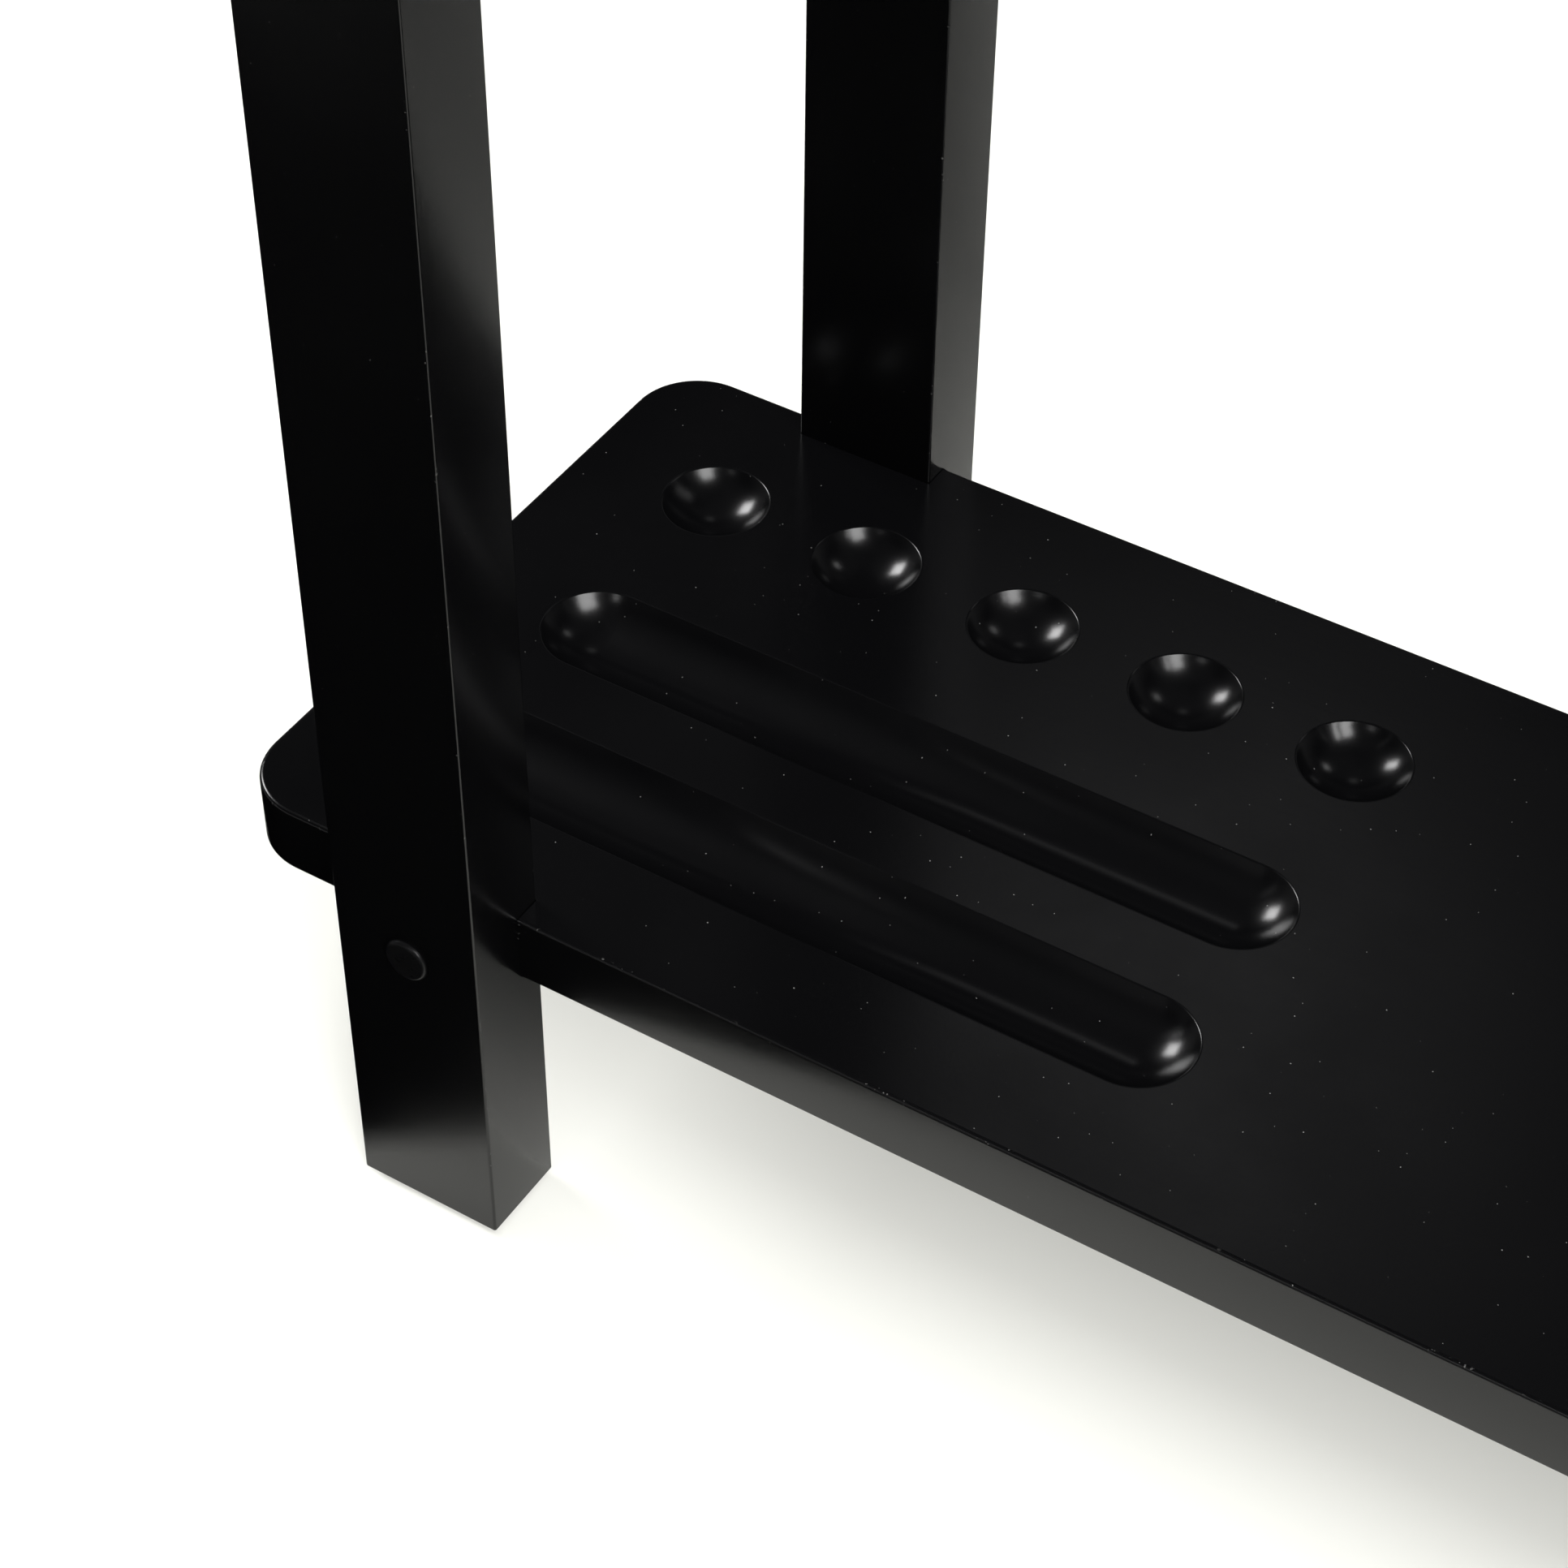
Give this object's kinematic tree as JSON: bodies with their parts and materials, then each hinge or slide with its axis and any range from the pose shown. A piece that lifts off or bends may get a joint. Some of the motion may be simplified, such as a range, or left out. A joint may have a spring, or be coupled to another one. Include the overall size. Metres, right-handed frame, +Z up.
{
  "type": "cue rack",
  "caption": "Floor-standing black wooden cue rack: two shelves let into four posts, with cue cups, cue holes and ball troughs.",
  "frame": {"origin": "centre of the footprint, on the floor", "axes": "+X along the shelves to the right as seen from the front, +Y to the back, +Z up"},
  "size_m": [0.72, 0.2786, 0.76],
  "materials": {
    "black_lacquer": "satin",
    "cap_plastic": "satin",
    "zinc_plated_steel": "satin",
    "glide_plastic": "matte"
  },
  "bodies": {
    "root": {"lower_shelf": "black_lacquer", "upper_shelf": "black_lacquer", "front_left_post": "black_lacquer", "front_right_post": "black_lacquer", "back_left_post": "black_lacquer", "back_right_post": "black_lacquer", "joint_bolt_front_left_lower": "zinc_plated_steel", "washer_front_left_lower": "zinc_plated_steel", "barrel_nut_front_left_lower": "zinc_plated_steel", "screw_cap_front_left_lower": "cap_plastic", "joint_bolt_front_left_upper": "zinc_plated_steel", "washer_front_left_upper": "zinc_plated_steel", "barrel_nut_front_left_upper": "zinc_plated_steel", "screw_cap_front_left_upper": "cap_plastic", "joint_bolt_front_right_lower": "zinc_plated_steel", "washer_front_right_lower": "zinc_plated_steel", "barrel_nut_front_right_lower": "zinc_plated_steel", "screw_cap_front_right_lower": "cap_plastic", "joint_bolt_front_right_upper": "zinc_plated_steel", "washer_front_right_upper": "zinc_plated_steel", "barrel_nut_front_right_upper": "zinc_plated_steel", "screw_cap_front_right_upper": "cap_plastic", "joint_bolt_back_left_lower": "zinc_plated_steel", "washer_back_left_lower": "zinc_plated_steel", "barrel_nut_back_left_lower": "zinc_plated_steel", "screw_cap_back_left_lower": "cap_plastic", "joint_bolt_back_left_upper": "zinc_plated_steel", "washer_back_left_upper": "zinc_plated_steel", "barrel_nut_back_left_upper": "zinc_plated_steel", "screw_cap_back_left_upper": "cap_plastic", "joint_bolt_back_right_lower": "zinc_plated_steel", "washer_back_right_lower": "zinc_plated_steel", "barrel_nut_back_right_lower": "zinc_plated_steel", "screw_cap_back_right_lower": "cap_plastic", "joint_bolt_back_right_upper": "zinc_plated_steel", "washer_back_right_upper": "zinc_plated_steel", "barrel_nut_back_right_upper": "zinc_plated_steel", "screw_cap_back_right_upper": "cap_plastic", "floor_glide_front_left": "glide_plastic", "floor_glide_front_right": "glide_plastic", "floor_glide_back_left": "glide_plastic", "floor_glide_back_right": "glide_plastic"}
  },
  "joints": []
}
